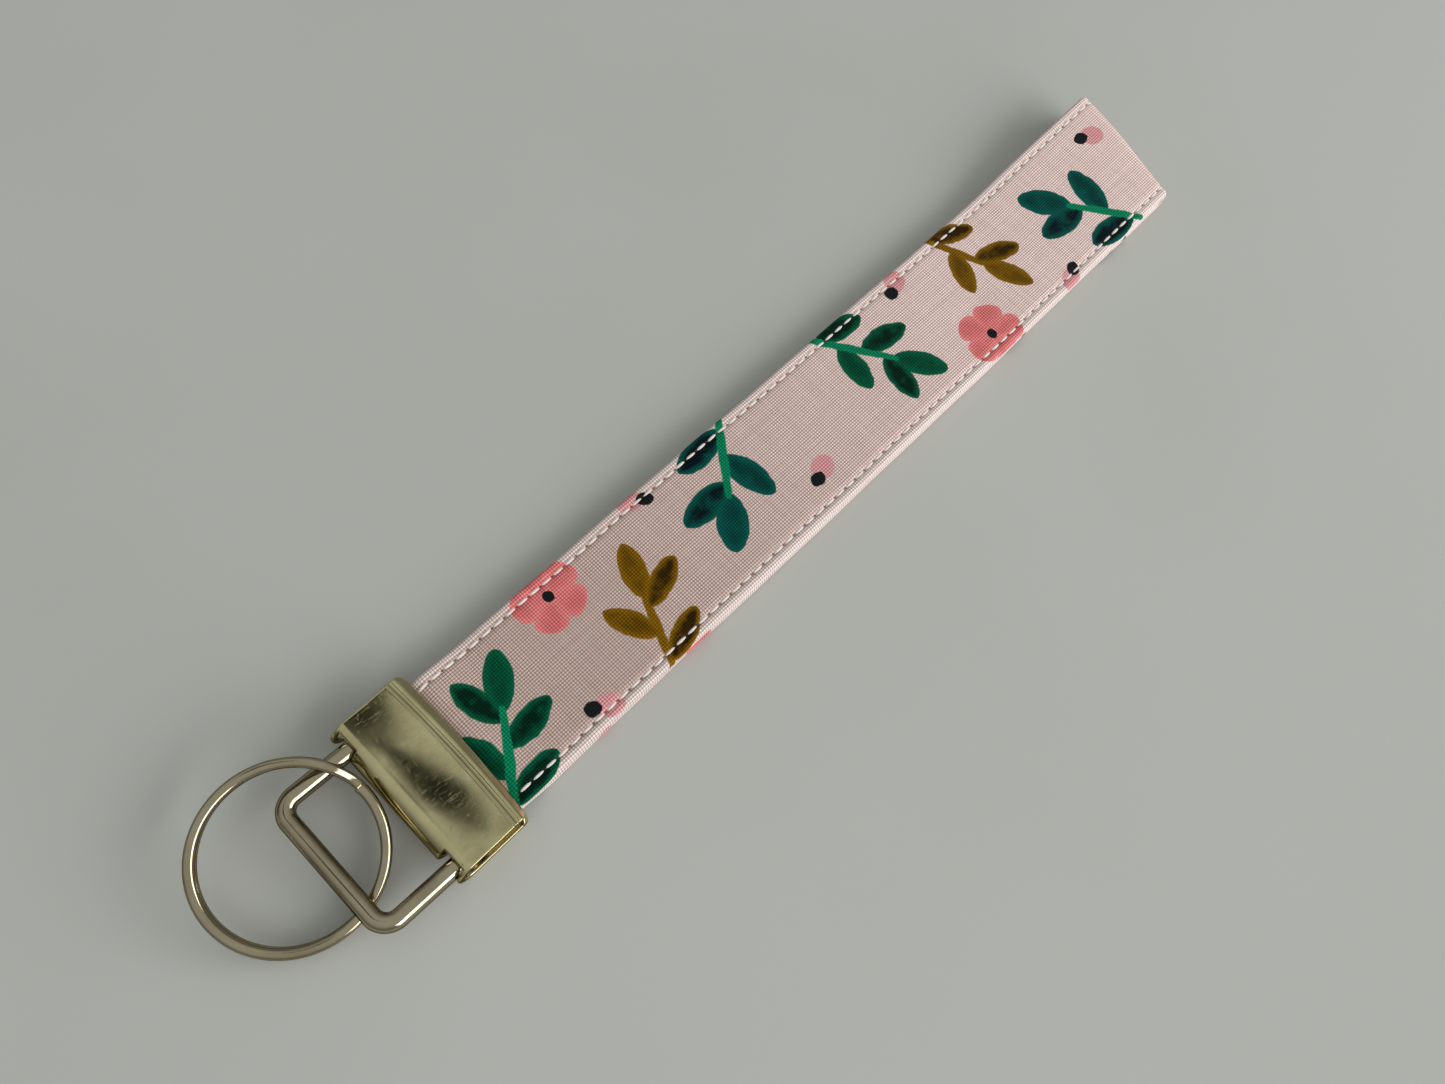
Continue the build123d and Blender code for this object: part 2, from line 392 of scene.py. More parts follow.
def tube(points, radius_a, radius_b, normals, sides, power=2.0):
    """Points and faces of a wire with closed ends. Its section is an ellipse, squarer with a power
    above 2."""
    points = np.asarray(points, float)
    runs = np.gradient(points, axis=0)
    runs /= np.linalg.norm(runs, axis=1)[:, None]
    normals = np.asarray(normals, float)
    normals = normals - runs * (normals * runs).sum(1)[:, None]
    normals /= np.linalg.norm(normals, axis=1)[:, None]
    sideways = np.cross(runs, normals)
    section = []
    for k in range(sides):
        angle = 2 * math.pi * (k + 0.5) / sides
        a, b = math.cos(angle), math.sin(angle)
        scale = (abs(a) ** power + abs(b) ** power) ** (-1 / power)
        section.append((radius_a * a * scale, radius_b * b * scale))
    section = np.array(section)
    rows = points[:, None, :] + section[None, :, :1] * normals[:, None, :]
    rows = (rows + section[None, :, 1:] * sideways[:, None, :]).reshape(-1, 3)
    faces = grid_faces(len(points), sides, wrap_columns=True, flip=True)
    faces.append(tuple(range(sides)))
    faces.append(tuple(len(rows) - sides + k for k in range(sides))[::-1])
    return rows, faces


def make_bail():
    """The wire bail: a rounded rectangle, open at its butt joint in the fold."""
    half = LEG_SPACING / 2
    corners = [
        (0, half, HIDDEN_CORNER),
        (-BAIL_LENGTH, half, BAIL_CORNER),
        (-BAIL_LENGTH, -half, BAIL_CORNER),
        (0, -half, HIDDEN_CORNER),
    ]
    line = [(0.0, y) for y in np.linspace(BUTT_GAP, half - HIDDEN_CORNER, 12)]
    heading = 90.0
    for n, (x, y, r) in enumerate(corners):
        start = math.radians(heading - 90)
        sign_x = 1 if x == 0 else -1
        sign_y = 1 if y > 0 else -1
        centre = (x - sign_x * r, y - sign_y * r)
        line += [
            (centre[0] + r * math.cos(start + t), centre[1] + r * math.sin(start + t))
            for t in np.linspace(0, math.pi / 2, 22)
        ]
        if n < 3:
            following = corners[n + 1]
            heading += 90
            here = np.array(line[-1])
            turn = math.radians(heading - 90)
            fx, fy, fr = following
            there = np.array((fx - (1 if fx == 0 else -1) * fr, fy - (1 if fy > 0 else -1) * fr))
            there = there + fr * np.array((math.cos(turn), math.sin(turn)))
            line += [tuple(here + (there - here) * t) for t in np.linspace(0, 1, 26)[1:-1]]
    line += [(0.0, y) for y in np.linspace(HIDDEN_CORNER - half, -BUTT_GAP, 12)[1:]]
    tilt = math.atan2(BAR[2] - PIVOT[2], PIVOT[0] - BAR[0])
    points = [(PIVOT[0] + x * math.cos(tilt), y + BAIL_SHIFT, PIVOT[2] - x * math.sin(tilt)) for x, y in line]
    normal = (math.sin(tilt), 0, math.cos(tilt))
    rows, faces = tube(points, BAIL_WIRE / 2, BAIL_WIRE / 2, [normal] * len(points), 40)
    return make_mesh("bail_wire", rows, faces)


def make_ring():
    """The split ring: one wire, two turns, crossing from the lower to the upper."""
    radial, axial = RING_WIRE
    middle = RING_RADIUS - radial / 2
    lift = (axial + RING_GAP) / 2
    half = RING_CROSSING / 2
    first, last = half + 1.0, 720 - half - 1.0
    angles = np.linspace(first, last, 560)
    height = -lift + 2 * lift * smooth(angles, 360 - half, 360 + half)
    heading = np.radians(angles + RING_CROSSING_HEADING)
    # The free ends are dressed thinner
    taper = smooth(angles, first, first + 5) * (1 - smooth(angles, last - 5, last))
    inset = 0.12 * (1 - taper)
    line = np.stack([(middle - inset) * np.cos(heading), (middle - inset) * np.sin(heading), height], 1)
    outward = np.stack([np.cos(heading), np.sin(heading), 0 * heading], 1)
    rows, faces = tube(line, radial / 2, axial / 2, outward, 28, power=2.4)
    lean = np.array(Matrix.Rotation(RING_DIP, 3, Vector(RING_DIP_AXIS)))
    return make_mesh("split_ring_wire", rows @ lean.T + RING_CENTRE, faces)


def sheet_metal(name, outer, inner, keep):
    """A bent sheet from its two faces on one grid. keep says which cells are metal; every edge of
    the metal gets a rim."""
    rows, columns = outer.shape[:2]
    count = rows * columns
    faces = []
    for i in range(rows - 1):
        for j in range(columns - 1):
            if not keep[i, j]:
                continue
            quad = (i * columns + j, (i + 1) * columns + j, (i + 1) * columns + j + 1, i * columns + j + 1)
            faces.append(quad)
            faces.append(tuple(count + q for q in quad[::-1]))
            sides = (
                (i - 1, j, quad[3], quad[0]),
                (i + 1, j, quad[1], quad[2]),
                (i, j - 1, quad[0], quad[1]),
                (i, j + 1, quad[2], quad[3]),
            )
            for a, b, p, q in sides:
                outside = a < 0 or b < 0 or a >= rows - 1 or b >= columns - 1
                if outside or not keep[a, b]:
                    faces.append((q, p, count + p, count + q))
    points = np.concatenate([outer.reshape(-1, 3), inner.reshape(-1, 3)])
    used = sorted({k for face in faces for k in face})
    rename = {k: n for n, k in enumerate(used)}
    return make_mesh(name, points[used], [tuple(rename[k] for k in face) for face in faces])


def worn(distance):
    """How much a sheet's face drops at this distance from its edge, where the edge is rounded."""
    return WORN - math.sqrt(WORN**2 - max(WORN - distance, 0) ** 2)


def make_clamp():
    """The clamp: its plates bulge a little, a fine bead runs beside each lip, and its edges are
    worn round."""
    radius = MID_Z - SHEET / 2
    nose = NOSE_X + MID_Z
    # How far from an edge its rounding has turned by 0, 30, 60 and 90 degrees
    rounding = (0, 0.134 * WORN, 0.5 * WORN, WORN)
    # The middle of the sheet from the upper lip's tip, over the fold, to the lower lip's tip
    lip = [1 - d / LIP_RUN for d in rounding] + np.linspace(0.8, 0, 9).tolist()
    plate = np.concatenate([[5.2, 5.08], np.arange(4.98, 4.2, -0.06), [4.0], np.linspace(3.7, nose, 14)])
    turns = np.linspace(math.pi / 2, 3 * math.pi / 2, 37)[1:-1]
    across = {round(float(v), 4) for v in np.linspace(1.0 - CLAMP_HALF, CLAMP_HALF - 1.0, 45)}
    for side in (-1, 1):
        across |= {round(side * (CLAMP_HALF - d), 4) for d in (*rounding, 0.35, 0.6)}
        for edge in (-1, 1):
            across |= {round(side * LEG_SPACING / 2 + edge * (SLOT_HALF + d), 4) for d in rounding}
    across = sorted(across)
    half_line = [(LIP_BEND_X, t) for t in lip] + [(x, 0.0) for x in plate]
    rows_mid = [(x, radius, t, 1) for x, t in half_line]
    rows_mid += [(nose + radius * math.cos(a), radius * math.sin(a), 0.0, 0) for a in turns]
    rows_mid += [(x, -radius, t, -1) for x, t in half_line[::-1]]
    columns = []
    for y in across:
        share = y / CLAMP_HALF
        corner = max(abs(y) - (CLAMP_HALF - 1.3), 0) / 1.3
        line = []
        for x, z, t, side in rows_mid:
            bow = MOUTH_BOW * (1 - share**2) - 0.12
            reach = smooth(x, -1.0, LIP_BEND_X)
            # The lip starts with a bend and then runs straight, and its free corners are round
            t = t * (1 - 0.62 * (1 - math.sqrt(max(1 - corner**2, 0))))
            eased = max(t - 0.25, 0) + 2 * min(t, 0.25) ** 2
            x_new = x + (LIP_RUN - LIP_ROUND) * t + bow * float(reach) + t * LIP_UNEVEN * share
            z = z - side * LIP_SLOPE * (LIP_RUN - LIP_ROUND) * 1.1 * eased
            along = (x - (nose + LIP_BEND_X) / 2) / ((LIP_BEND_X - nose) / 2)
            swell = DOME * max(1 - along**2, 0) * (1 - abs(share) ** 2.5)
            line.append((x_new, z + swell if side == 1 else z))
        columns.append(line)
    grid = np.array(columns).transpose(1, 0, 2)
    run = np.gradient(grid, axis=0)
    run /= np.linalg.norm(run, axis=2)[:, :, None]
    # Walking from the upper lip round the fold, the outside of the sheet is on the right
    out = np.stack([run[:, :, 1], -run[:, :, 0]], axis=2)
    # The slots for the bail's legs open at the underside of the fold
    slotted = [x < nose - 0.02 and z + MID_Z < SLOT_TOP for x, z, _, _ in rows_mid]
    half_sheet = np.zeros((2, *grid.shape[:2]))
    for i, (x, _, t, _) in enumerate(rows_mid):
        bead = float(BEAD_TALL * bump(x, BEAD_X, BEAD_WIDE) - GROOVE_DEEP * bump(x, GROOVE_X, GROOVE_WIDE))
        for j, y in enumerate(across):
            drop = max(worn(CLAMP_HALF - abs(y)), worn((1 - t) * LIP_RUN))
            if slotted[i]:
                drop = max(drop, worn(max(abs(abs(y) - LEG_SPACING / 2) - SLOT_HALF, 0)))
            half_sheet[:, i, j] = (SHEET / 2 - drop + bead, SHEET / 2 - drop)
    faces = []
    for side, half in zip((1, -1), half_sheet):
        flat = grid + side * out * half[:, :, None]
        y = np.broadcast_to(np.array(across)[None, :], flat.shape[:2])
        faces.append(np.stack([flat[:, :, 0], y, flat[:, :, 1] + MID_Z], axis=2))
    outer, inner = faces
    keep = np.ones((grid.shape[0] - 1, grid.shape[1] - 1), bool)
    for i in range(keep.shape[0]):
        for j in range(keep.shape[1]):
            y_mid = (across[j] + across[j + 1]) / 2
            if slotted[i] and slotted[i + 1] and abs(abs(y_mid) - LEG_SPACING / 2) < SLOT_HALF:
                keep[i, j] = False
    clamp = sheet_metal("clamp_plate", outer, inner, keep)
    clamp.data.set_sharp_from_angle(angle=math.radians(40))
    return clamp


# ---------------------------------------------------------------- materials


class Graph:
    """A material's node tree, with one short call for each kind of node."""

    def __init__(self, name):
        self.material = bpy.data.materials.new(name)
        self.material.use_nodes = True
        self.tree = self.material.node_tree
        self.shader = self.tree.nodes["Principled BSDF"]

    def put(self, socket, value):
        if isinstance(value, bpy.types.NodeSocket):
            self.tree.links.new(value, socket)
        else:
            socket.default_value = value

    def node(self, kind, **settings):
        made = self.tree.nodes.new(kind)
        for key, value in settings.items():
            setattr(made, key, value)
        return made

    def math(self, operation, a, b=0.0, c=0.0, clamp=False):
        made = self.node("ShaderNodeMath", operation=operation, use_clamp=clamp)
        for socket, value in zip(made.inputs, (a, b, c)):
            self.put(socket, value)
        return made.outputs[0]

    def vector(self, operation, a, b=(0.0, 0.0, 0.0)):
        made = self.node("ShaderNodeVectorMath", operation=operation)
        self.put(made.inputs[0], a)
        self.put(made.inputs[1], b)
        return made.outputs["Value" if operation in ("DOT_PRODUCT", "LENGTH") else "Vector"]

    def step(self, value, low, high, out_low=0.0, out_high=1.0):
        made = self.node("ShaderNodeMapRange", interpolation_type="SMOOTHSTEP")
        for socket, entry in zip(made.inputs, (value, low, high, out_low, out_high)):
            self.put(socket, entry)
        return made.outputs[0]

    def noise(self, where, scale, detail=2.0, rough=0.5, output="Fac"):
        made = self.node("ShaderNodeTexNoise", noise_dimensions="3D")
        self.put(made.inputs["Vector"], where)
        made.inputs["Scale"].default_value = scale
        made.inputs["Detail"].default_value = detail
        made.inputs["Roughness"].default_value = rough
        return made.outputs[output]

    def mix(self, share, a, b):
        made = self.node("ShaderNodeMix", data_type="RGBA", clamp_factor=True)
        self.put(made.inputs["Factor"], share)
        colours = [s for s in made.inputs if s.type == "RGBA"]
        for socket, value in zip(colours, (a, b)):
            if not isinstance(value, bpy.types.NodeSocket) and len(value) == 3:
                value = (*value, 1.0)
            self.put(socket, value)
        return next(s for s in made.outputs if s.type == "RGBA")

    def attribute(self, name):
        return self.node("ShaderNodeAttribute", attribute_name=name).outputs["Vector"]

    def position(self):
        return self.node("ShaderNodeTexCoord").outputs["Object"]

    def split(self, vector):
        made = self.node("ShaderNodeSeparateXYZ")
        self.put(made.inputs[0], vector)
        return made.outputs

    def join(self, x, y, z):
        made = self.node("ShaderNodeCombineXYZ")
        for socket, value in zip(made.inputs, (x, y, z)):
            self.put(socket, value)
        return made.outputs[0]

    def bump(self, height, distance, strength=1.0):
        made = self.node("ShaderNodeBump")
        self.put(made.inputs["Height"], height)
        made.inputs["Distance"].default_value = distance
        made.inputs["Strength"].default_value = strength
        return made.outputs[0]

    def set(self, name, value):
        if isinstance(value, tuple) and len(value) == 3:
            value = (*value, 1.0)
        self.put(self.shader.inputs[name], value)


GREEN = (0.0, 0.125, 0.058)
GREEN_DARK = (0.0, 0.020, 0.010)
TEAL = (0.0, 0.110, 0.088)
TEAL_DARK = (0.001, 0.008, 0.012)
STEM = (0.002, 0.26, 0.115)
OCHRE = (0.275, 0.132, 0.002)
OCHRE_DARK = (0.034, 0.015, 0.001)
CORAL = (0.95, 0.27, 0.27)
CORAL_DARK = (0.68, 0.16, 0.16)
BUD = (0.80, 0.39, 0.41)
INK = (0.010, 0.014, 0.016)
GROUND = (0.83, 0.64, 0.605)
GROUND_WARM = (0.79, 0.595, 0.555)


# The print is a plain one of the builder's own: sprigs, a five-petalled blossom and buds, set out
# over one repeat. A leaf is its tip, root, width, depth of tone, point and lean, in millimetres
# along and across the strap. A high point narrows both ends, and a positive lean makes the root's
# half the wider.


def turned(angle):
    return np.array((math.cos(math.radians(angle)), math.sin(math.radians(angle))))


def sprig(start, heading, count, gap, leaf, width):
    """Leaves by turns on the two sides of a straight stem and one at its end, then the stem."""
    start, way = np.array(start), turned(heading)
    end = start + way * gap * count
    leaves = [(end + way * leaf, end, width, 0.35, 0.58, 0.0)]
    for k in range(count):
        root = start + way * gap * (k + 0.6)
        tip = root + turned(heading + (46 if k % 2 else -46)) * leaf
        leaves.append((tip, root, 0.93 * width, (0.9, 0.4, 0.7)[k % 3], 0.56, 0.0))
    return leaves, [(end + way, start, 1.4, 0.1, 0.15, 0.0)]


def blossom(centre, radius):
    """Five round petals, then the eye."""
    centre, ways = np.array(centre), [turned(72 * k + 20) for k in range(5)]
    petals = [(centre + way * radius, centre + way * 0.4, 0.85 * radius, 0.45, 0.42, -0.35) for way in ways]
    return petals, [(centre + ways[0] * 0.9, centre - ways[0] * 0.9, 1.7, 0.5, 0.5, 0.0)]


def bud(place, heading):
    """A small round bud, then the cup that holds it."""
    place, way = np.array(place), turned(heading)
    cup = (place + way * 1.3, place - way * 1.5, 2.3, 0.5, 0.6, 0.0)
    return [(place + way * 4.4, place, 3.5, 0.2, 0.45, 0.0)], [cup]


green_leaves, green_stem = sprig((5.0, -12.5), 56, 4, 3.7, 9.2, 4.4)
ochre_leaves, ochre_stem = sprig((34.0, -13.5), 68, 3, 4.2, 9.0, 4.1)
teal_leaves, teal_stem = sprig((67.5, 12.0), 232, 3, 4.4, 9.8, 5.0)
petals, eye = blossom((29.0, 8.0), 5.6)
all_buds = bud((71.0, -6.0), 25), bud((49.5, 9.5), 150), bud((22.5, -8.5), -30)
buds, cups = (sum(parts, []) for parts in zip(*all_buds))
PRINT = [
    (GREEN, GREEN_DARK, green_leaves),
    (TEAL, TEAL_DARK, teal_leaves),
    (STEM, TEAL, green_stem + teal_stem),
    (OCHRE, OCHRE_DARK, ochre_leaves + ochre_stem),
    (CORAL, CORAL_DARK, petals),
    (BUD, CORAL, buds),
    (INK, INK, cups + eye),
]


def print_leaf(graph, where, tip, root, width, point, lean):
    """How far inside a leaf each point is, in millimetres, and below 0 outside it."""
    tip, root = np.array(tip), np.array(root)
    middle, half = (tip + root) / 2, (tip - root) / 2
    long = float(np.hypot(*half))
    along = half / long
    rel = graph.vector("SUBTRACT", where, (*middle, 0.0))
    a = graph.vector("DOT_PRODUCT", rel, (*(along / long), 0.0))
    b = graph.math("ABSOLUTE", graph.vector("DOT_PRODUCT", rel, (-along[1], along[0], 0.0)))
    round_off = graph.math("MULTIPLY_ADD", graph.math("MULTIPLY", a, a), -1.0, 1.0)
    round_off = graph.math("POWER", graph.math("MAXIMUM", round_off, 0.0), point)
    profile = graph.math("MULTIPLY", round_off, graph.math("MULTIPLY_ADD", a, -lean, 1.0))
    return graph.math("MULTIPLY_ADD", profile, width / 2 + 0.13, graph.math("MULTIPLY_ADD", b, -1.0, -0.13))


def weave(graph, s, v):
    """Plain weave: the height of the upper thread at each point, 0 to 1."""
    warp = graph.math("MULTIPLY", s, 1 / WARP_PITCH)
    weft = graph.math("MULTIPLY", v, 1 / WEFT_PITCH)
    count = graph.math("ADD", graph.math("FLOOR", warp), graph.math("FLOOR", weft))
    parity = graph.math("ABSOLUTE", graph.math("MODULO", count, 2.0))
    over = graph.math("SINE", graph.math("MULTIPLY", graph.math("FRACT", warp), math.pi))
    under = graph.math("SINE", graph.math("MULTIPLY", graph.math("FRACT", weft), math.pi))
    first, second = (
        graph.math("MULTIPLY", graph.math("POWER", a, 0.6), graph.math("MULTIPLY_ADD", b, 0.6, 0.4))
        for a, b in ((over, under), (under, over))
    )
    share = graph.math("LESS_THAN", parity, 0.5)
    height = graph.math("MULTIPLY", first, share)
    rest = graph.math("MULTIPLY", second, graph.math("SUBTRACT", 1.0, share))
    return graph.math("ADD", height, rest)


def cotton_material():
    """Pale pink plain-weave cotton with a loose print, laid out along and across the strap."""
    graph = Graph("printed_cotton")
    place = graph.attribute("place")
    s, v, _ = graph.split(place)
    # Every second repeat is turned over across the strap
    repeats = graph.math("MULTIPLY", s, 1 / REPEAT)
    flip = graph.math("LESS_THAN", graph.math("FRACT", graph.math("MULTIPLY", repeats, 0.5)), 0.5)
    flip = graph.math("MULTIPLY_ADD", flip, 2.0, -1.0)
    flat = graph.join(
        graph.math("MULTIPLY", graph.math("FRACT", repeats), REPEAT), graph.math("MULTIPLY", v, flip), 0.0
    )
    shift = graph.vector("SUBTRACT", graph.noise(flat, 0.4, 2.5, output="Color"), (0.5, 0.5, 0.5))
    where = graph.vector("ADD", flat, graph.vector("MULTIPLY", shift, (0.7, 0.7, 0.0)))
    threads = weave(graph, s, v)
    blots = graph.noise(flat, 0.35, 3.0, 0.6)
    slub_long = graph.noise(graph.vector("MULTIPLY", place, (0.05, 2.3, 1.0)), 1.0, 3.0, 0.6)
    slub_wide = graph.noise(graph.vector("MULTIPLY", place, (2.3, 0.09, 1.0)), 1.0, 3.0, 0.6)
    uneven = graph.math("ADD", slub_long, slub_wide)
    colour = graph.mix(graph.step(uneven, 0.8, 1.2), GROUND_WARM, GROUND)
    # Painted light: the cloth is painted darker near the clamp and paler toward the far end of the loop,
    # standing in for the sheen that brightens the far end
    x = graph.split(graph.position())[0]
    pale = graph.mix(graph.step(x, 0.015, 0.125), (0.76, 0.735, 0.70), (1.14, 1.14, 1.15))
    colour = graph.vector("MULTIPLY", colour, pale)
    # Painted highlight: the rolled margin past the stitching is painted lighter, standing in for the light
    # the raised roll catches
    from_edge = graph.math("ABSOLUTE", v)
    past_stitches = graph.step(from_edge, 10.15, 10.7)
    margin = graph.math("MULTIPLY", past_stitches, graph.step(from_edge, 12.6, 13.2, 1.0, 0.0))
    colour = graph.mix(graph.math("MULTIPLY", margin, 0.6), colour, (0.93, 0.81, 0.78))
    # The ink's edge follows the threads
    ragged = graph.math("MULTIPLY_ADD", threads, 0.16, -0.08)
    for light, dark, leaves in PRINT:
        inside, depth = None, None
        for tip, root, width, tone, point, lean in leaves:
            leaf = graph.math("ADD", print_leaf(graph, where, tip, root, width, point, lean), ragged)
            mask = graph.step(leaf, -0.03, 0.13)
            core = graph.math("MULTIPLY", graph.step(leaf, -0.05, 0.36 * width), tone)
            inside = mask if inside is None else graph.math("MAXIMUM", inside, mask)
            depth = core if depth is None else graph.math("MAXIMUM", depth, core)
        tone = graph.math("MULTIPLY", depth, graph.step(blots, 0.25, 0.62, 0.5, 1.5), clamp=True)
        colour = graph.mix(inside, colour, graph.mix(tone, light, dark))
    # The needle's holes show as dark points: painted shade in the holes
    for row, phase in STITCH_ROWS:
        turn = graph.math("MULTIPLY_ADD", s, 1 / STITCH_LENGTH, 0.5 - phase / STITCH_LENGTH + 2.0)
        aside = graph.math("MULTIPLY_ADD", graph.math("FRACT", turn), STITCH_LENGTH, -STITCH_LENGTH / 2)
        gap = graph.vector("LENGTH", graph.join(aside, graph.math("SUBTRACT", v, row), 0.0))
        hole = graph.step(gap, 0.12, 0.30, 0.55, 0.0)
        colour = graph.mix(hole, colour, (0.10, 0.055, 0.05))
    # Threads: painted light on the bright crowns and painted shade in the dim gaps
    shade = graph.step(threads, 0.15, 0.85, 0.52, 1.19)
    slub_shade = graph.step(uneven, 0.7, 1.3, 0.965, 1.03)
    shade = graph.math("MULTIPLY", shade, slub_shade)
    graph.set("Base Color", graph.vector("MULTIPLY", colour, graph.join(shade, shade, shade)))
    graph.set("Roughness", 0.85)
    graph.set("Specular IOR Level", 0.06)
    graph.set("Sheen Weight", 0.05)
    graph.set("Sheen Roughness", 0.4)
    graph.set("Sheen Tint", (1.0, 0.93, 0.91))
    relief = graph.math("ADD", threads, graph.math("MULTIPLY", uneven, 0.4))
    graph.set("Normal", graph.bump(relief, 0.00012, 0.8))
    return graph.material


def thread_material():
    """Pale pink twisted sewing thread."""
    graph = Graph("sewing_thread")
    x, y, _ = graph.split(graph.vector("MULTIPLY", graph.position(), (1000.0, 1000.0, 1000.0)))
    twist = graph.math("SINE", graph.math("MULTIPLY_ADD", x, 17.0, graph.math("MULTIPLY", y, 14.0)))
    ply = graph.step(twist, -1.0, 1.0)
    fibre = graph.noise(graph.position(), 4000.0, 2.0)
    # The plies are painted lighter on their crowns and darker between them: painted light and shade following
    # the twist
    colour = graph.mix(ply, (0.80, 0.68, 0.64), (0.93, 0.86, 0.83))
    graph.set("Base Color", graph.mix(graph.step(fibre, 0.3, 0.7, 0.0, 0.35), colour, (0.95, 0.90, 0.88)))
    graph.set("Roughness", 0.6)
    graph.set("Sheen Weight", 0.3)
    graph.set("Normal", graph.bump(graph.math("ADD", ply, fibre), 0.00004, 0.8))
    return graph.material


def webbing_material():
    """Off-white ribbed webbing."""
    graph = Graph("webbing")
    s, v, _ = graph.split(graph.attribute("place"))
    rib = graph.math("SINE", graph.math("MULTIPLY", s, 9.0))
    cross = graph.math("SINE", graph.math("MULTIPLY", v, 7.0))
    relief = graph.math("ADD", rib, cross)
    # The ribs' crowns are painted lighter and their grooves darker: painted light and shade following the
    # relief
    graph.set("Base Color", graph.mix(graph.step(relief, -2.0, 2.0), (0.62, 0.59, 0.52), (0.80, 0.78, 0.72)))
    graph.set("Roughness", 0.9)
    graph.set("Normal", graph.bump(relief, 0.0001, 0.5))
    return graph.material


def nickel_material(name, colour, dull, rough):
    """Worn nickel plate: cloudy polish, hair-fine scratches and a few specks."""
    graph = Graph(name)
    where = graph.position()
    cloud = graph.noise(where, 170.0, 4.0, 0.6)
    fine = graph.noise(where, 2600.0, 3.0, 0.7)
    scratch_a = graph.noise(graph.vector("MULTIPLY", where, (500.0, 9000.0, 500.0)), 1.0, 2.0, 0.6)
    scratch_b = graph.noise(graph.vector("MULTIPLY", where, (7000.0, 700.0, 700.0)), 1.0, 2.0, 0.6)
    speck = graph.node("ShaderNodeTexVoronoi", feature="F1")
    graph.put(speck.inputs["Vector"], where)
    speck.inputs["Scale"].default_value = 480.0
    spots = graph.step(speck.outputs["Distance"], 0.06, 0.11, 1.0, 0.0)
    rare = graph.step(graph.noise(where, 330.0, 1.0), 0.60, 0.66)
    spots = graph.math("MULTIPLY", spots, rare)
    tone = graph.mix(graph.step(cloud, 0.35, 0.7, 0.0, 0.5), colour, dull)
    graph.set("Base Color", graph.mix(graph.math("MULTIPLY", spots, 0.75), tone, (0.10, 0.085, 0.06)))
    graph.set("Metallic", 1.0)
    # Metal seen edge on is dimmer
    graph.set("Specular Tint", (0.17, 0.15, 0.11))
    haze = graph.step(cloud, 0.3, 0.75, rough * 0.8, rough * 1.35)
    lines = graph.math("ADD", graph.step(scratch_a, 0.62, 0.72), graph.step(scratch_b, 0.64, 0.74))
    graph.set("Roughness", graph.math("MULTIPLY_ADD", lines, 0.08, haze))
    relief = graph.math("ADD", graph.math("MULTIPLY", fine, 0.5), graph.math("MULTIPLY", lines, -0.6))
    relief = graph.math("MULTIPLY_ADD", spots, -2.0, relief)
    graph.set("Normal", graph.bump(relief, 0.000004, 0.6))
    return graph.material


def floor_material():
    """A pale, nearly matt table top, with the faintest polish and unevenness."""
    graph = Graph("pale_table")
    where = graph.position()
    cloud = graph.noise(where, 7.0, 3.0)
    dust = graph.noise(where, 900.0, 2.0)
    colour = graph.mix(graph.step(cloud, 0.3, 0.7), (0.505, 0.513, 0.484), (0.540, 0.546, 0.521))
    graph.set("Base Color", colour)
    graph.set("Roughness", 0.8)
    graph.set("Specular IOR Level", 0.0)
    # A thin even polish over the matt colour
    polish = graph.node("ShaderNodeBsdfAnisotropic")
    graph.put(polish.inputs["Roughness"], graph.step(dust, 0.3, 0.8, 0.09, 0.15))
    graph.put(polish.inputs["Normal"], graph.bump(cloud, 0.0002, 0.15))
    both = graph.node("ShaderNodeMixShader")
    both.inputs[0].default_value = TABLE_POLISH
    graph.put(both.inputs[1], graph.shader.outputs[0])
    graph.put(both.inputs[2], polish.outputs[0])
    graph.put(graph.tree.nodes["Material Output"].inputs["Surface"], both.outputs[0])
    return graph.material


# ---------------------------------------------------------------- the object

cover, strap_end = make_cover()
core = make_core()
cotton, thread, webbing = cotton_material(), thread_material(), webbing_material()
cover.data.materials.append(cotton)
core.data.materials.append(webbing)
for kind, face in (("needle", 1), ("bobbin", -1)):
    for (row, phase), side in zip(STITCH_ROWS, ("left", "right")):
        thing = make_stitches(f"{kind}_stitches_{side}", row, phase, face)
        thing.data.materials.append(thread)
        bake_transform(thing)
        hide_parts(f"{kind}_thread_{side}")
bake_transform(cover)
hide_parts("cover_loop", "cover_ends")
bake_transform(core)
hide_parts("core_loop", "core_ends")

clamp = make_clamp()
clamp_metal = nickel_material("clamp_nickel", (0.67, 0.60, 0.345), (0.46, 0.395, 0.21), 0.115)
clamp.data.materials.append(clamp_metal)
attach(clamp, "clamp")
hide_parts("clamp_shell")
wire_metal = nickel_material("wire_nickel", (0.455, 0.395, 0.28), (0.29, 0.243, 0.165), 0.12)
bail = make_bail()
bail.data.materials.append(wire_metal)
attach(bail, "bail")
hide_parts("bail")
ring = make_ring()
ring.data.materials.append(wire_metal)
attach(ring, "ring")
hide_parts("split_ring")

# ---------------------------------------------------------------- stage


def make_floor():
    """The table."""
    corners = [(x * TABLE_HALF, y * TABLE_HALF, TABLE_Z) for x, y in ((-1, -1), (1, -1), (1, 1), (-1, 1))]
    floor = make_mesh("floor", corners, [(0, 1, 2, 3)])
    floor.data.materials.append(floor_material())


def softbox(name, place, aim, size, power):
    """A rectangular lamp, with its place, aim and size in millimetres."""
    lamp = bpy.data.lights.new(name, "AREA")
    lamp.shape = "RECTANGLE"
    lamp.size, lamp.size_y = (v * MM for v in size)
    lamp.energy = power
    thing = bpy.data.objects.new(name, lamp)
    thing.location = Vector(place) * MM
    thing.rotation_euler = (Vector(place) - Vector(aim)).to_track_quat("Z", "Y").to_euler()
    bpy.context.scene.collection.objects.link(thing)


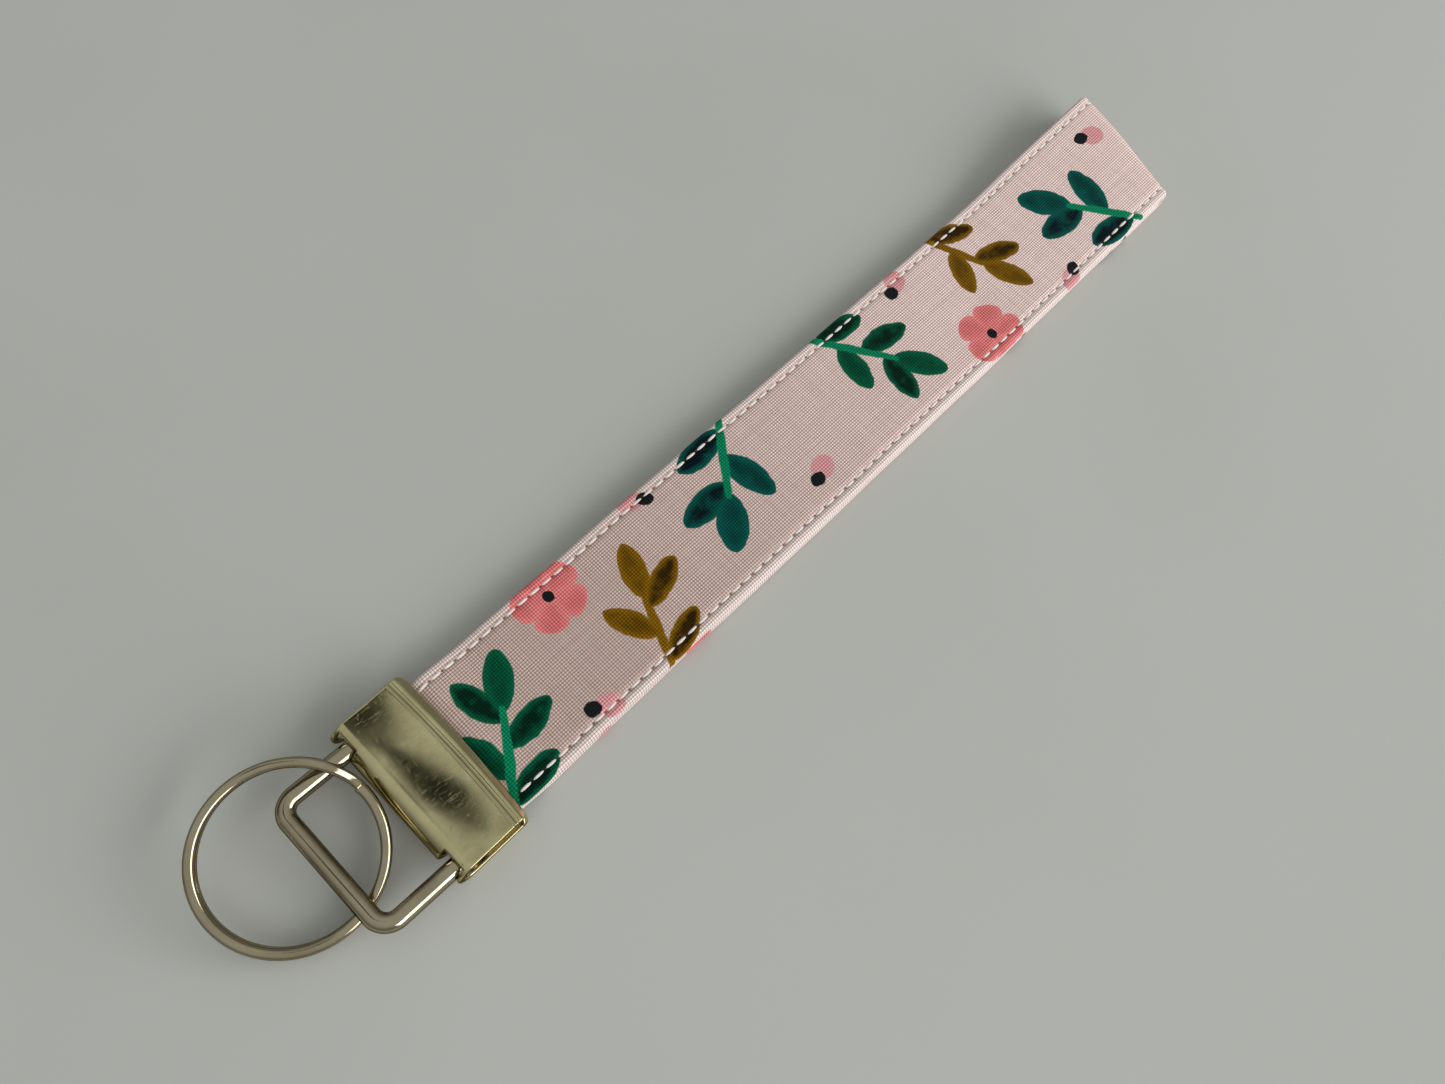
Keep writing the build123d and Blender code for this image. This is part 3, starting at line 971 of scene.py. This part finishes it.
def flag(name, place, size, turn):
    """A dark card over the table, seen only in gloss, as photographers hang one to shape metal."""
    x, y = size[0] / 2, size[1] / 2
    card = make_mesh(name, [(-x, -y, 0), (x, -y, 0), (x, y, 0), (-x, y, 0)], [(0, 1, 2, 3)])
    card.location = Vector(place) * MM
    card.rotation_euler = (0, 0, math.radians(turn))
    graph = Graph(name)
    graph.set("Base Color", (0.012, 0.012, 0.008))
    graph.set("Specular IOR Level", 0.0)
    graph.set("Roughness", 1.0)
    card.data.materials.append(graph.material)
    card.visible_camera = card.visible_diffuse = card.visible_shadow = False


def make_sky():
    """Studio light from all round, brighter overhead than at the sides."""
    world = bpy.data.worlds.new("studio")
    world.use_nodes = True
    tree = world.node_tree
    background = tree.nodes["Background"]
    direction = tree.nodes.new("ShaderNodeTexCoord").outputs["Generated"]
    height = tree.nodes.new("ShaderNodeSeparateXYZ")
    ramp = tree.nodes.new("ShaderNodeMapRange")
    ramp.interpolation_type = "SMOOTHSTEP"
    for socket, value in zip(ramp.inputs[1:], (0.1, 0.95, 0.19, 0.52)):
        socket.default_value = value
    tree.links.new(direction, height.inputs[0])
    tree.links.new(height.outputs["Z"], ramp.inputs[0])
    tree.links.new(ramp.outputs[0], background.inputs["Strength"])
    background.inputs["Color"].default_value = (0.97, 1.0, 0.955, 1)
    bpy.context.scene.world = world


make_floor()
make_sky()
# The window stands low to the strap's right
window_heading, window_height = math.radians(-66), math.radians(26)
window_way = Vector((math.cos(window_heading), math.sin(window_heading), math.tan(window_height)))
middle_of_strap = Vector((60, 0, 0))
window_place = middle_of_strap + WINDOW_AWAY * window_way
softbox("window", window_place, middle_of_strap, WINDOW_SIZE, WINDOW_POWER)
flag("flag_over_plate", (-11, 66, 305), (44, 75), 50)
flag("flag_over_end", (-16, 131, 305), (62, 50), 8)

camera = bpy.data.cameras.new("camera")
camera.sensor_width = 36.0
camera.lens = 27.06
camera.clip_start = 0.01
view = bpy.data.objects.new("camera", camera)
view.location = Vector((1.0, -36.6, 151.0)) * MM
view.rotation_euler = tuple(math.radians(a) for a in (22.16, -4.85, -45.59))
bpy.context.scene.collection.objects.link(view)
bpy.context.scene.camera = view
bpy.context.scene.view_settings.view_transform = "Standard"
